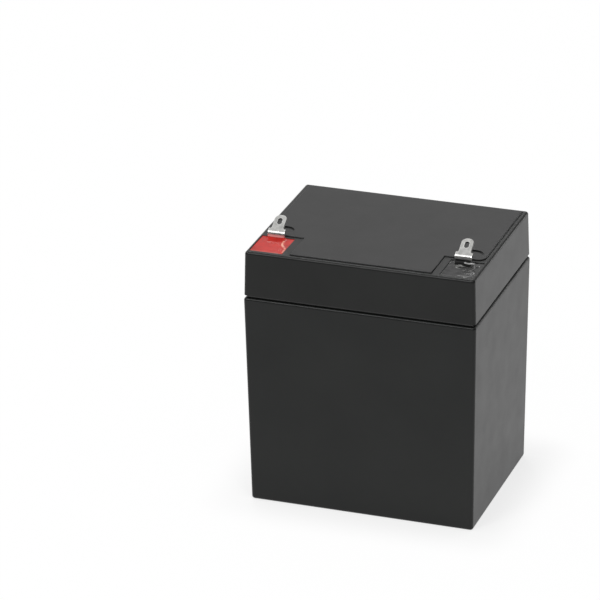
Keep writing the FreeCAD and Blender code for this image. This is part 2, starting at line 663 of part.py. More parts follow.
def draw_tab_side(sketch):
    """Foot, lower bend, riser, top bend and leaning tongue, as one strip of even thickness."""
    t, r = number("Sizes.tab_thickness"), number("Sizes.tab_bend")
    low, top = number("Derived.foot_level"), number("Derived.lid_top + Sizes.tab_rise")
    lean = math.radians(number("Sizes.tab_lean"))
    foot, reach = number("Sizes.tab_foot"), number("Sizes.tab_neck + Sizes.tab_length")
    axis = FreeCAD.Vector(0, 0, 1)
    heel = FreeCAD.Vector(-r, low + t + r, 0)
    crown = FreeCAD.Vector(t + r, top, 0)
    along = FreeCAD.Vector(math.cos(lean), math.sin(lean), 0)
    up = FreeCAD.Vector(-math.sin(lean), math.cos(lean), 0)
    inner, outer = crown + up * r, crown + up * (r + t)

    def line(a, b):
        return sketch.addGeometry(Part.LineSegment(a, b), False)

    def arc(middle, radius, start, end):
        shape = Part.ArcOfCircle(Part.Circle(middle, axis, radius), start, end)
        return sketch.addGeometry(shape, False)

    sole = line(FreeCAD.Vector(-foot, low, 0), FreeCAD.Vector(-r, low, 0))
    heel_out = arc(heel, r + t, -math.pi / 2, 0)
    back = line(FreeCAD.Vector(t, low + t + r, 0), FreeCAD.Vector(t, top, 0))
    crown_in = arc(crown, r, math.pi / 2 + lean, math.pi)
    under = line(inner, inner + along * reach)
    tip = line(inner + along * reach, outer + along * reach)
    over = line(outer + along * reach, outer)
    crown_out = arc(crown, r + t, math.pi / 2 + lean, math.pi)
    front = line(FreeCAD.Vector(0, top, 0), FreeCAD.Vector(0, low + t + r, 0))
    heel_in = arc(heel, r, -math.pi / 2, 0)
    instep = line(FreeCAD.Vector(-r, low + t, 0), FreeCAD.Vector(-foot, low + t, 0))
    toe = line(FreeCAD.Vector(-foot, low + t, 0), FreeCAD.Vector(-foot, low, 0))

    smooth = [
        (sole, 2, heel_out, 1), (heel_out, 2, back, 1), (back, 2, crown_in, 2),
        (crown_in, 1, under, 1), (over, 2, crown_out, 1), (crown_out, 2, front, 1),
        (front, 2, heel_in, 2), (heel_in, 1, instep, 1),
    ]
    for joint in smooth:
        sketch.addConstraint(Sketcher.Constraint("Tangent", *joint))
    for joint in ((under, 2, tip, 1), (tip, 2, over, 1), (instep, 2, toe, 1), (toe, 2, sole, 1)):
        sketch.addConstraint(Sketcher.Constraint("Coincident", *joint))
    sketch.addConstraint(Sketcher.Constraint("Vertical", front))
    sketch.addConstraint(Sketcher.Constraint("Horizontal", sole))
    sketch.addConstraint(Sketcher.Constraint("Vertical", toe))
    sketch.addConstraint(Sketcher.Constraint("Perpendicular", under, tip))
    sketch.addConstraint(Sketcher.Constraint("Coincident", heel_in, 3, heel_out, 3))
    sketch.addConstraint(Sketcher.Constraint("Coincident", crown_in, 3, crown_out, 3))
    place_point(sketch, crown_in, 3, "Sizes.tab_thickness + Sizes.tab_bend",
                "Derived.lid_top + Sizes.tab_rise")
    bind(sketch, "Radius", crown_in, to="Sizes.tab_bend")
    bind(sketch, "Radius", crown_out, to="Sizes.tab_bend + Sizes.tab_thickness")
    bind(sketch, "Radius", heel_in, to="Sizes.tab_bend")
    bind(sketch, "DistanceY", -1, 1, sole, 1, to="Derived.foot_level")
    bind(sketch, "DistanceX", -1, 1, sole, 1, to="-Sizes.tab_foot")
    bind(sketch, "Distance", under, to="Sizes.tab_neck + Sizes.tab_length")
    bind(sketch, "Angle", -1, 1, under, 1, to="Sizes.tab_lean")


def draw_tongue_waste(sketch):
    """What is punched away beside and beyond the tongue, seen square to the sheet."""
    half, reach = number("Sizes.tab_width / 2"), number("Sizes.tab_neck + Sizes.tab_length")
    wide, beyond = number("Sizes.tab_shoulder"), reach + number("Sizes.tab_thickness")
    neck, r, tip = (number(f"Sizes.{n}") for n in ("tab_neck", "tab_relief", "tab_tip"))
    axis = FreeCAD.Vector(0, 0, 1)

    def line(*xy):
        a, b = FreeCAD.Vector(xy[0], xy[1], 0), FreeCAD.Vector(xy[2], xy[3], 0)
        return sketch.addGeometry(Part.LineSegment(a, b), False)

    def arc(x, y, radius, start, end):
        shape = Part.Circle(FreeCAD.Vector(x, y, 0), axis, radius)
        return sketch.addGeometry(Part.ArcOfCircle(shape, start, end), False)

    right = math.pi / 2
    edges = [
        line(-wide, neck, -half - r, neck),
        arc(-half - r, neck + r, r, -right, 0),
        line(-half, neck + r, -half, reach - tip),
        arc(-half + tip, reach - tip, tip, right, 2 * right),
        line(-half + tip, reach, half - tip, reach),
        arc(half - tip, reach - tip, tip, 0, right),
        line(half, reach - tip, half, neck + r),
        arc(half + r, neck + r, r, 2 * right, 3 * right),
        line(half + r, neck, wide, neck),
        line(wide, neck, wide, beyond),
        line(wide, beyond, -wide, beyond),
        line(-wide, beyond, -wide, neck),
    ]
    foot_l, relief_l, side_l, round_l, end, round_r, side_r, relief_r, foot_r, out_r, far, out_l = edges
    for joint in (
        (foot_l, 2, relief_l, 1), (relief_l, 2, side_l, 1), (side_l, 2, round_l, 2),
        (round_l, 1, end, 1), (end, 2, round_r, 2), (round_r, 1, side_r, 1),
        (side_r, 2, relief_r, 1), (relief_r, 2, foot_r, 1),
    ):
        sketch.addConstraint(Sketcher.Constraint("Tangent", *joint))
    for joint in ((foot_r, 2, out_r, 1), (out_r, 2, far, 1), (far, 2, out_l, 1), (out_l, 2, foot_l, 1)):
        sketch.addConstraint(Sketcher.Constraint("Coincident", *joint))
    for edge in (foot_l, end, foot_r, far):
        sketch.addConstraint(Sketcher.Constraint("Horizontal", edge))
    for edge in (side_l, side_r, out_r, out_l):
        sketch.addConstraint(Sketcher.Constraint("Vertical", edge))
    reach_to = "Sizes.tab_neck + Sizes.tab_length"
    bind(sketch, "DistanceX", -1, 1, side_l, 1, to="-Sizes.tab_width / 2")
    bind(sketch, "DistanceX", -1, 1, side_r, 1, to="Sizes.tab_width / 2")
    place_point(sketch, foot_l, 1, "-Sizes.tab_shoulder", "Sizes.tab_neck")
    place_point(sketch, out_r, 2, "Sizes.tab_shoulder", f"{reach_to} + Sizes.tab_thickness")
    bind(sketch, "DistanceY", -1, 1, foot_r, 2, to="Sizes.tab_neck")
    bind(sketch, "DistanceY", -1, 1, end, 1, to=reach_to)
    for edge in (relief_l, relief_r):
        bind(sketch, "Radius", edge, to="Sizes.tab_relief")
    for edge in (round_l, round_r):
        bind(sketch, "Radius", edge, to="Sizes.tab_tip")


def make_post_seal(sign):
    ring = doc.addObject("Part::Torus", f"post_seal_{sign}")
    ring.Label = f"post_seal_{sign}"
    ring.setExpression("Radius1", "Sizes.post_radius + Sizes.seal_gap + Sizes.seal_wire / 2")
    ring.setExpression("Radius2", "Sizes.seal_wire / 2")
    ring.setExpression("Placement.Base.x", terminal_x(sign))
    ring.setExpression("Placement.Base.y", "Derived.post_y")
    ring.setExpression("Placement.Base.z", "Derived.well_floor - Sizes.seal_wire / 2")
    return ring


def make_resin(sign, buried):
    """Cast resin: the well's whole inside, less the terminal pieces that stand in it."""
    block = new_body(f"resin_block_{sign}")
    outline = new_sketch(block, f"resin_outline_{sign}", level="Derived.well_floor")
    well(outline, sign)
    pad(block, f"resin_fill_{sign}", outline, "Derived.resin_top - Derived.well_floor")
    resin = doc.addObject("Part::Cut", f"resin_{sign}")
    resin.Label = f"resin_{sign}"
    resin.Base = block
    resin.Tool = buried
    return resin


# ---------------------------------------------------------------- plates


def make_group(cell, sign):
    """Plates hung from a cast strap. Its own origin is the middle of its cell, at the base."""
    column, row, positive_side, positive_flag, negative_flag = CELLS[cell - 1]
    positive = sign == "positive"
    side = positive_side if positive else -positive_side
    flag = positive_flag if positive else negative_flag
    count = PLATE_COUNT[sign]
    thickness = f"Sizes.{sign}_plate"
    label = f"{sign}_group_{cell}"
    strap_x = f"{side} * Derived.strap_offset"
    body = new_body(label)

    strap = new_sketch(body, f"{label}_strap_plan", level="Derived.strap_low")
    rectangle(strap, strap_x, "0", "Sizes.strap_width", "Derived.stack_depth")
    cast = pad(body, f"{label}_strap", strap, "Sizes.strap_height")
    dress(body, "Fillet", f"{label}_strap_edges", cast, upright, "Sizes.strap_corner")

    first = f"-{(count - 1) / 2} * Derived.plate_pitch"
    plate = new_sketch(body, f"{label}_plate_plan", plane="XZ_Plane",
                       level=f"-({first}) + {thickness} / 2")
    half, lug = "Derived.plate_width / 2", "Sizes.lug_width / 2"
    root, top = "Derived.plate_high", "Derived.strap_low + Sizes.lug_root"
    polygon(plate, [
        (neg(half), "Derived.plate_low"), (half, "Derived.plate_low"), (half, root),
        (f"{strap_x} + {lug}", root), (f"{strap_x} + {lug}", top),
        (f"{strap_x} - {lug}", top), (f"{strap_x} - {lug}", root), (neg(half), root),
    ])
    leaf = pad(body, f"{label}_plate", plate, thickness, down=True)
    row_of_plates = body.newObject("PartDesign::LinearPattern", f"{label}_plates")
    row_of_plates.Originals = [leaf]
    axis = next(f for f in body.Origin.OriginFeatures if f.Role == "Y_Axis")
    row_of_plates.Direction = (axis, [""])
    row_of_plates.Occurrences = count
    row_of_plates.setExpression("Length", f"{count - 1} * Derived.plate_pitch")
    body.Tip = row_of_plates
    doc.recompute()
    if flag == "post":
        add_post(body, label, f"{strap_x} + Sizes.{sign}_shift")
    else:
        add_flag(body, label, strap_x, flag, column)
    x, y = cell_centre(column, row)
    body.setExpression("Placement.Base.x", x)
    body.setExpression("Placement.Base.y", y)
    return body


def add_post(body, label, x):
    """The terminal post under its tab, with the spigot that is soldered into the tab's foot."""
    y = "Derived.post_y + Derived.row_pitch"
    post = new_sketch(body, f"{label}_post_plan", level="Derived.strap_low")
    circle(post, x, y, "Sizes.post_radius")
    pad(body, f"{label}_post", post, "Derived.foot_level - Derived.strap_low")
    spigot = new_sketch(body, f"{label}_spigot_plan", level="Derived.foot_level")
    circle(spigot, x, y, "Sizes.spigot_radius")
    pad(body, f"{label}_spigot", spigot, "Sizes.tab_thickness + Sizes.spigot_rise")


def add_flag(body, label, strap_x, facing, column):
    """The upright flag against a partition, and half of the weld nugget through it."""
    low, high = "Derived.strap_low", "Derived.flag_top"
    if facing == "centre":
        towards = -column
        plan = new_sketch(body, f"{label}_flag_plan", plane="XZ_Plane", level="0")
        face = f"{towards} * Derived.flag_face_x"
        back = f"{towards} * (Derived.flag_face_x - Sizes.flag_thickness)"
        polygon(plan, [(back, low), (face, low), (face, high), (back, high)])
        pad_both(body, f"{label}_flag", plan, "Sizes.strap_width")
        weld = new_sketch(body, f"{label}_weld_plan", plane="YZ_Plane", level=face)
        circle(weld, "0", "Derived.weld_level", "Sizes.weld_radius")
        length = "Derived.column_x - Derived.flag_face_x"
        pad(body, f"{label}_weld", weld, length, down=towards < 0)
        return
    towards = 1 if facing == "back" else -1
    plan = new_sketch(body, f"{label}_flag_plan", plane="YZ_Plane", level=strap_x)
    face = f"{towards} * Derived.flag_face_y"
    back = f"{towards} * (Derived.flag_face_y - Sizes.flag_thickness)"
    polygon(plan, [(back, low), (face, low), (face, high), (back, high)])
    pad_both(body, f"{label}_flag", plan, "Sizes.strap_width")
    weld = new_sketch(body, f"{label}_weld_plan", plane="XZ_Plane", level=neg(face))
    circle(weld, strap_x, "Derived.weld_level", "Sizes.weld_radius")
    length = "Derived.row_pitch / 2 - Derived.flag_face_y"
    pad(body, f"{label}_weld", weld, length, down=towards > 0)


def make_separator(cell, index):
    """Glass mat folded under one positive plate and up both its faces."""
    column, row = CELLS[cell - 1][:2]
    body = new_body(f"separator_{cell}_{index}")
    fold = new_sketch(body, f"mat_fold_{cell}_{index}", plane="YZ_Plane")
    inner = "Sizes.positive_plate / 2 + Sizes.mat_gap"
    outer = f"{inner} + Derived.mat"
    low, high = "Derived.rib_top", "Derived.plate_high + Sizes.mat_rise"
    bed = f"{low} + Derived.mat"
    polygon(fold, [
        (neg(outer), low), (outer, low), (outer, high), (inner, high),
        (inner, bed), (neg(inner), bed), (neg(inner), high), (neg(outer), high),
    ])
    sheet_pad = pad_both(body, f"mat_{cell}_{index}", fold,
                         "Derived.plate_width + 2 * Sizes.mat_overhang")
    bottom = at_level(number(low))
    dress(body, "Fillet", f"mat_bend_{cell}_{index}", sheet_pad,
          lambda edge, ends, middle: bottom(edge, ends, middle) and abs(ends[0].y - ends[1].y) < 1e-4,
          "Derived.mat")
    x, y = cell_centre(column, row)
    place = index - (PLATE_COUNT["positive"] + 1) / 2
    body.setExpression("Placement.Base.x", x)
    body.setExpression("Placement.Base.y", f"{y} + {place} * Derived.plate_pitch")
    return body


# ---------------------------------------------------------------- the whole battery

nodes = [make_container(), make_lid(), make_lid_seal(), make_top_cover()]
for index, (x, y) in enumerate(vent_places(), start=1):
    nodes.append(make_vent_cap(index, x, y))
groups = {}
for cell in range(1, len(CELLS) + 1):
    for sign in SIDES:
        groups[cell, sign] = make_group(cell, sign)
        nodes.append(groups[cell, sign])
    for index in range(1, PLATE_COUNT["positive"] + 1):
        nodes.append(make_separator(cell, index))
for sign, cell in (("positive", 1), ("negative", len(CELLS))):
    tab = make_tab(sign)
    seal = make_post_seal(sign)
    buried = doc.addObject("Part::Compound", f"buried_{sign}")
    buried.Links = [tab, seal, groups[cell, sign]]
    nodes += [tab, seal, make_resin(sign, buried)]
doc.recompute()

for thing in doc.Objects:
    if {"Invalid", "Error"} & set(thing.State):
        raise RuntimeError(f"{thing.Label} is {thing.State}")
for node in nodes:
    if node.Shape.isNull() or not node.Shape.isValid() or len(node.Shape.Solids) != 1:
        raise RuntimeError(f"{node.Label} is not one valid solid")

os.makedirs("parts", exist_ok=True)
for node in nodes:
    node.Shape.exportStep(f"parts/{node.Label}.step")
print(f"{len(nodes)} nodes written")
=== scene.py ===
"""Looks of the sealed block battery: finishes, cast resin, floor, light and camera.

Metres throughout, in the part's own frame: +Z up, terminals towards -Y, positive at -X.
"""

import math

import bmesh
import bpy
from mathutils import Matrix, Vector, noise


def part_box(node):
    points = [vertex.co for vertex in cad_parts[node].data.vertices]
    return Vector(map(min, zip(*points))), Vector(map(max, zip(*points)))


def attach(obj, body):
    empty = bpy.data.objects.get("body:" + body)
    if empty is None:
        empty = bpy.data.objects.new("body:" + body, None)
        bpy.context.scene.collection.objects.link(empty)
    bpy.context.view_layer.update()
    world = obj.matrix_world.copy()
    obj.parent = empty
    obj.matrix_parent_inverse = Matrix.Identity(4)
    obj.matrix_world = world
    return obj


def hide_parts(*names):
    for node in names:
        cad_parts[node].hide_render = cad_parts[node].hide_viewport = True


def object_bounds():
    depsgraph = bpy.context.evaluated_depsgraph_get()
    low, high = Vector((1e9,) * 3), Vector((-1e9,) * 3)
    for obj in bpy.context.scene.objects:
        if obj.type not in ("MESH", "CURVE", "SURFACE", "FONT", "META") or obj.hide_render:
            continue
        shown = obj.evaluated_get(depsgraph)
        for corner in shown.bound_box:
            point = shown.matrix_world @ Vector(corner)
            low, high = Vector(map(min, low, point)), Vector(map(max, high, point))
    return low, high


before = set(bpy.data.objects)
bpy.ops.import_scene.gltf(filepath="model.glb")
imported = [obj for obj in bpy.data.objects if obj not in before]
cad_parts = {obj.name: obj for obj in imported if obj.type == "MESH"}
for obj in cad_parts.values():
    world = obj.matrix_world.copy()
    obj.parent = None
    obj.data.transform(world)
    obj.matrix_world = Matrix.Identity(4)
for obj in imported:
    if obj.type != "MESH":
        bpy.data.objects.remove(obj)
cad_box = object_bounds()

MM = 0.001

# ---------------------------------------------------------------- camera

AZIMUTH = math.radians(19.8)
ELEVATION = math.radians(24.1)
ROLL = math.radians(-0.83)
DISTANCE = 1.6175
# The point aimed at lies beside the battery, which leaves it low and right in the frame.
TARGET = Vector((-0.0489, 0.0380, 0.0510))
FOCAL_LENGTH = 249.7
SENSOR = 36.0


def make_camera():
    back = Vector((
        math.sin(AZIMUTH) * math.cos(ELEVATION),
        -math.cos(AZIMUTH) * math.cos(ELEVATION),
        math.sin(ELEVATION),
    ))
    right = Vector((0, 0, 1)).cross(back).normalized()
    turn = Matrix.Rotation(ROLL, 3, back)
    right, up = turn @ right, turn @ back.cross(right)
    place = Matrix((right, up, back)).transposed().to_4x4()
    place.translation = TARGET + DISTANCE * back
    data = bpy.data.cameras.new("camera")
    data.lens = FOCAL_LENGTH
    data.sensor_width = SENSOR
    data.clip_start = 0.1
    data.clip_end = 20
    camera = bpy.data.objects.new("camera", data)
    camera.matrix_world = place
    bpy.context.scene.collection.objects.link(camera)
    bpy.context.scene.camera = camera


# ---------------------------------------------------------------- node helpers


def feed(tree, socket, value):
    """Link a socket to an output, or set it to a constant."""
    if isinstance(value, bpy.types.NodeSocket):
        tree.links.new(value, socket)
    elif socket.type == "RGBA":
        socket.default_value = (*value, 1)
    else:
        socket.default_value = value


def math_node(tree, operation, a, b):
    node = tree.nodes.new("ShaderNodeMath")
    node.operation = operation
    feed(tree, node.inputs[0], a)
    feed(tree, node.inputs[1], b)
    return node.outputs[0]


def vector_node(tree, operation, a, b=(0, 0, 0)):
    node = tree.nodes.new("ShaderNodeVectorMath")
    node.operation = operation
    feed(tree, node.inputs[0], a)
    feed(tree, node.inputs[1], b)
    return node.outputs["Value" if operation in ("DOT_PRODUCT", "LENGTH") else "Vector"]


def ramp(tree, value, start, end, low=0.0, high=1.0, smooth=False):
    """Low up to start, high from end on, and a slope between them."""
    node = tree.nodes.new("ShaderNodeMapRange")
    node.interpolation_type = "SMOOTHSTEP" if smooth else "LINEAR"
    feed(tree, node.inputs["Value"], value)
    feed(tree, node.inputs["From Min"], start)
    feed(tree, node.inputs["From Max"], end)
    feed(tree, node.inputs["To Min"], low)
    feed(tree, node.inputs["To Max"], high)
    return node.outputs["Result"]


def blend(tree, factor, a, b):
    """A colour between two, by a factor."""
    node = tree.nodes.new("ShaderNodeMix")
    node.data_type = "RGBA"
    feed(tree, node.inputs["Factor"], factor)
    feed(tree, node.inputs["A"], a)
    feed(tree, node.inputs["B"], b)
    return node.outputs["Result"]


def mix_shaders(tree, factor, a, b):
    node = tree.nodes.new("ShaderNodeMixShader")
    feed(tree, node.inputs[0], factor)
    feed(tree, node.inputs[1], a)
    feed(tree, node.inputs[2], b)
    return node.outputs[0]


def own_place(tree):
    """Where a point lies in the part's own frame."""
    return tree.nodes.new("ShaderNodeTexCoord").outputs["Object"]


def own_height(tree):
    axes = tree.nodes.new("ShaderNodeSeparateXYZ")
    feed(tree, axes.inputs[0], own_place(tree))
    return axes.outputs["Z"]


def mottle(tree, size, detail, stretch=(1, 1, 1)):
    """Soft noise whose features are about size metres wide, drawn out where stretch is under 1."""
    node = tree.nodes.new("ShaderNodeTexNoise")
    feed(tree, node.inputs["Vector"], vector_node(tree, "MULTIPLY", own_place(tree), stretch))
    feed(tree, node.inputs["Scale"], 1 / size)
    feed(tree, node.inputs["Detail"], detail)
    return node.outputs["Fac"]


def spread(tree, value, low=0.0, high=1.0):
    """A noise texture's middle range, laid out from low to high."""
    return ramp(tree, value, NOISE_LOW, NOISE_HIGH, low, high)


def bump(tree, height, depth, under=None):
    node = tree.nodes.new("ShaderNodeBump")
    feed(tree, node.inputs["Strength"], 1.0)
    feed(tree, node.inputs["Distance"], depth)
    feed(tree, node.inputs["Height"], height)
    if under:
        feed(tree, node.inputs["Normal"], under)
    return node.outputs[0]


def soft_edges(tree, radius):
    """A normal that turns smoothly over edges, as a moulding's do."""
    node = tree.nodes.new("ShaderNodeBevel")
    node.samples = 6
    feed(tree, node.inputs["Radius"], radius)
    return node.outputs[0]


def near_edges(tree, radius):
    """1 within about radius of an edge, 0 away from edges."""
    flat = tree.nodes.new("ShaderNodeNewGeometry").outputs["True Normal"]
    return ramp(tree, vector_node(tree, "DOT_PRODUCT", soft_edges(tree, radius), flat), 1.0, 0.85)


def seen_directly(tree):
    """1 for what the camera sees, straight or by a mirroring or clear surface, and 0 for plain light."""
    path = tree.nodes.new("ShaderNodeLightPath")
    either = math_node(tree, "ADD", path.outputs["Is Camera Ray"], path.outputs["Is Glossy Ray"])
    return math_node(tree, "ADD", either, path.outputs["Is Transmission Ray"])


# ---------------------------------------------------------------- light and floor

# The side of the room that gloss shows brightest, and the levels there and opposite.
BRIGHT_SIDE = (-0.45, 0.35, 0.82)
ROOM_BRIGHT = 0.90
ROOM_DIM = 0.10
# A bright patch high in front: its level, and the cosines of its outer and its inner edge.
BRIGHT_PATCH = (-0.25, -0.50, 0.83)
PATCH_LEVEL = 0.85
PATCH_EDGES = (0.86, 0.97)
# The same room as plain light.
ROOM_LIGHT = 0.72

FLOOR_SIZE = 6.0
FLOOR_WHITE = (0.95, 0.95, 0.95)
# Share of the floor that is lit from below, at the battery's foot and from FLOOR_FAR beyond it.
FLOOR_GLOW, FLOOR_GLOW_FAR = 0.70, 0.98
FLOOR_FAR = 0.022

# The lamps stand on a sphere of this radius round a point in the battery.
LAMP_REACH = 1.6
LAMP_AIM = Vector((0, 0, 0.06))
# Each lamp's way from there, its diameter and its level.
LAMPS = {
    "key": ((-0.31, -0.63, 0.71), 0.46, 0.20),
    "left": ((-0.80, 0.0, 0.60), 0.40, 0.08),
    "right": ((0.36, -0.45, 0.81), 0.30, 0.08),
    "back": ((-0.31, 0.54, 0.78), 0.30, 0.07),
    "low_back": ((0.50, 0.86, 0.06), 0.30, 0.045),
    "glint": ((-0.125, 0.86, 0.50), 0.16, 0.010),
}


def make_world():
    """A white room. What gloss reflects of it is bright above and behind, and dim low in front."""
    world = bpy.data.worlds.new("studio")
    bpy.context.scene.world = world
    world.use_nodes = True
    tree = world.node_tree
    tree.nodes.clear()

    def background(strength):
        node = tree.nodes.new("ShaderNodeBackground")
        feed(tree, node.inputs["Color"], (1, 1, 1))
        feed(tree, node.inputs["Strength"], strength)
        return node.outputs[0]

    way = tree.nodes.new("ShaderNodeTexCoord").outputs["Generated"]
    along = vector_node(tree, "DOT_PRODUCT", way, BRIGHT_SIDE)
    slope = ramp(tree, along, 0.0, 1.0, ROOM_DIM, ROOM_BRIGHT, smooth=True)
    ahead = vector_node(tree, "DOT_PRODUCT", way, BRIGHT_PATCH)
    patch = ramp(tree, ahead, *PATCH_EDGES, 0.0, PATCH_LEVEL, smooth=True)
    gloss = background(math_node(tree, "MAXIMUM", slope, patch))
    by_camera = tree.nodes.new("ShaderNodeLightPath").outputs["Is Camera Ray"]
    room = mix_shaders(tree, by_camera, gloss, background(1.0))
    out = tree.nodes.new("ShaderNodeOutputWorld")
    seen = mix_shaders(tree, seen_directly(tree), background(ROOM_LIGHT), room)
    feed(tree, out.inputs["Surface"], seen)


def make_softbox(name, way, size, level):
    """A round lamp aimed at LAMP_AIM, seen from there along way.

    Level is the irradiance it gives there to a surface square to it, over pi.
    """
    way = Vector(way).normalized()
    data = bpy.data.lights.new(name, "AREA")
    data.shape = "DISK"
    data.size = size
    data.energy = level * (math.pi * LAMP_REACH) ** 2
    lamp = bpy.data.objects.new(name, data)
    lamp.matrix_world = way.to_track_quat("Z", "Y").to_matrix().to_4x4()
    lamp.location = LAMP_AIM + way * LAMP_REACH
    lamp.visible_camera = False
    bpy.context.scene.collection.objects.link(lamp)


def make_floor():
    """A wide white table. It is lit partly from below, so that the shadow on it stays pale and close."""
    half = FLOOR_SIZE / 2
    mesh = bpy.data.meshes.new("floor")
    corners = [(-half, -half, 0), (half, -half, 0), (half, half, 0), (-half, half, 0)]
    mesh.from_pydata(corners, [], [(0, 1, 2, 3)])
    floor = bpy.data.objects.new("floor", mesh)
    bpy.context.scene.collection.objects.link(floor)
    mat = bpy.data.materials.new("pale_floor")
    mat.use_nodes = True
    tree = mat.node_tree
    tree.nodes.clear()
    plain = tree.nodes.new("ShaderNodeBsdfDiffuse")
    feed(tree, plain.inputs["Color"], FLOOR_WHITE)
    glow = tree.nodes.new("ShaderNodeEmission")
    feed(tree, glow.inputs["Color"], (1, 1, 1))
    feed(tree, glow.inputs["Strength"], 1.0)
    foot = (cad_box[1].x, cad_box[1].y, 0)
    beyond = vector_node(tree, "SUBTRACT", vector_node(tree, "ABSOLUTE", own_place(tree)), foot)
    away = vector_node(tree, "LENGTH", vector_node(tree, "MAXIMUM", beyond))
    share = ramp(tree, away, 0.0, FLOOR_FAR, FLOOR_GLOW, FLOOR_GLOW_FAR, smooth=True)
    lit = mix_shaders(tree, share, plain.outputs[0], glow.outputs[0])
    out = tree.nodes.new("ShaderNodeOutputMaterial")
    feed(tree, out.inputs["Surface"], mix_shaders(tree, seen_directly(tree), plain.outputs[0], lit))
    mesh.materials.append(mat)


# ---------------------------------------------------------------- the finishes

# The separators stand this far over the plates' paste.
MAT_RISE = 1.6 * MM
# The middle range of a noise texture, where most of its values lie.
NOISE_LOW, NOISE_HIGH = 0.3, 0.7


def new_material(name):
    mat = bpy.data.materials.new(name)
    mat.use_nodes = True
    return mat, mat.node_tree, mat.node_tree.nodes["Principled BSDF"]


def make_plastic(name, dark, light, rough, grain_depth, ior):
    """Black ABS: faint flow mottling, a fine spark-eroded grain and uneven gloss."""
    mat, tree, bsdf = new_material(name)
    flow = mottle(tree, 30 * MM, 3)
    feed(tree, bsdf.inputs["Base Color"], blend(tree, spread(tree, flow), dark, light))
    feed(tree, bsdf.inputs["Roughness"], spread(tree, mottle(tree, 9 * MM, 4), *rough))
    feed(tree, bsdf.inputs["IOR"], ior)
    waves = bump(tree, mottle(tree, 22 * MM, 1), 0.008 * MM, soft_edges(tree, 0.22 * MM))
    grain = bump(tree, mottle(tree, 0.35 * MM, 2), grain_depth, waves)
    feed(tree, bsdf.inputs["Normal"], grain)
    return mat


def make_resin_finish(name, dark, light, rough, ior=1.5, pale=None):
    """Glossy cast resin, cloudy in colour. Where the mesh's glare attribute is set, the colour is blended
    towards pale: painted glare and glints.
    """
    mat, tree, bsdf = new_material(name)
    colour = blend(tree, spread(tree, mottle(tree, 5 * MM, 3)), dark, light)
    if pale:
        cover = tree.nodes.new("ShaderNodeAttribute")
        cover.attribute_name = "cover"
        colour = blend(tree, cover.outputs["Fac"], colour, pale)
    feed(tree, bsdf.inputs["Base Color"], colour)
    feed(tree, bsdf.inputs["Roughness"], spread(tree, mottle(tree, 2.5 * MM, 3), *rough))
    feed(tree, bsdf.inputs["IOR"], ior)
    feed(tree, bsdf.inputs["Normal"], bump(tree, mottle(tree, 0.9 * MM, 2), 0.006 * MM))
    return mat


def make_tin(name, bend_foot, reflected_resin_colour):
    """Bright tin on brass: fine draw lines along the strip, and a painted highlight: the tin is painted
    lighter near its edges.

    Under the bend, which starts at bend_foot, the tin is painted in the resin's colour and is not metallic
    there: a painted reflection of the resin in front of it.
    """
    mat, tree, bsdf = new_material(name)
    patch = mottle(tree, 1.6 * MM, 3)
    face = blend(tree, spread(tree, patch), (0.40, 0.40, 0.39), (0.60, 0.60, 0.58))
    edges = near_edges(tree, 0.5 * MM)
    # Painted highlight: the colour is lightened near the edges, where edge highlights fall.
    edge_highlighted = blend(tree, edges, face, (0.92, 0.92, 0.90))
    # Painted reflection: below the bend the riser takes the resin's colour, as a mirror of the resin would
    # show it.
    below_bend = ramp(tree, own_height(tree), bend_foot + 0.25 * MM, bend_foot - 0.35 * MM)
    painted_reflection_mask = math_node(tree, "MULTIPLY", below_bend, math_node(tree, "SUBTRACT", 1.0, edges))
    feed(tree, bsdf.inputs["Base Color"], blend(tree, painted_reflection_mask, edge_highlighted, reflected_resin_colour))
    feed(tree, bsdf.inputs["Metallic"], math_node(tree, "SUBTRACT", 1.0, painted_reflection_mask))
    streaks = mottle(tree, 0.25 * MM, 2, (1, 0.08, 0.08))
    feed(tree, bsdf.inputs["Roughness"], spread(tree, streaks, 0.26, 0.36))
    lines = bump(tree, streaks, 0.004 * MM)
    feed(tree, bsdf.inputs["Normal"], bump(tree, patch, 0.02 * MM, lines))
    return mat


def make_lead(name, paste_dark, paste_light, paste_top):
    """Cast lead above the paste's top edge, pasted plate below it."""
    mat, tree, bsdf = new_material(name)
    is_cast = math_node(tree, "GREATER_THAN", own_height(tree), paste_top)
    grit = spread(tree, mottle(tree, 0.8 * MM, 4))
    paste = blend(tree, grit, paste_dark, paste_light)
    cast = blend(tree, spread(tree, mottle(tree, 6 * MM, 4)), (0.16, 0.17, 0.18), (0.30, 0.31, 0.33))
    feed(tree, bsdf.inputs["Base Color"], blend(tree, is_cast, paste, cast))
    feed(tree, bsdf.inputs["Metallic"], math_node(tree, "MULTIPLY", is_cast, 0.7))
    feed(tree, bsdf.inputs["Roughness"], spread(tree, mottle(tree, 3 * MM, 3), 0.5, 0.8))
    feed(tree, bsdf.inputs["Normal"], bump(tree, grit, 0.03 * MM))
    return mat


def make_rubber(name, dark, light):
    mat, tree, bsdf = new_material(name)
    dust = mottle(tree, 4 * MM, 4)
    feed(tree, bsdf.inputs["Base Color"], blend(tree, spread(tree, dust), dark, light))
    feed(tree, bsdf.inputs["Roughness"], spread(tree, dust, 0.55, 0.8))
    feed(tree, bsdf.inputs["Normal"], bump(tree, mottle(tree, 0.3 * MM, 2), 0.01 * MM))
    return mat


def make_glass_mat(name):
    """Matted white fibres."""
    mat, tree, bsdf = new_material(name)
    fibres = mottle(tree, 0.5 * MM, 5, (0.15, 1, 1))
    colour = blend(tree, spread(tree, fibres), (0.62, 0.62, 0.60), (0.84, 0.84, 0.82))
    feed(tree, bsdf.inputs["Base Color"], colour)
    feed(tree, bsdf.inputs["Roughness"], spread(tree, fibres, 0.8, 1.0))
    feed(tree, bsdf.inputs["Normal"], bump(tree, fibres, 0.05 * MM))
    return mat


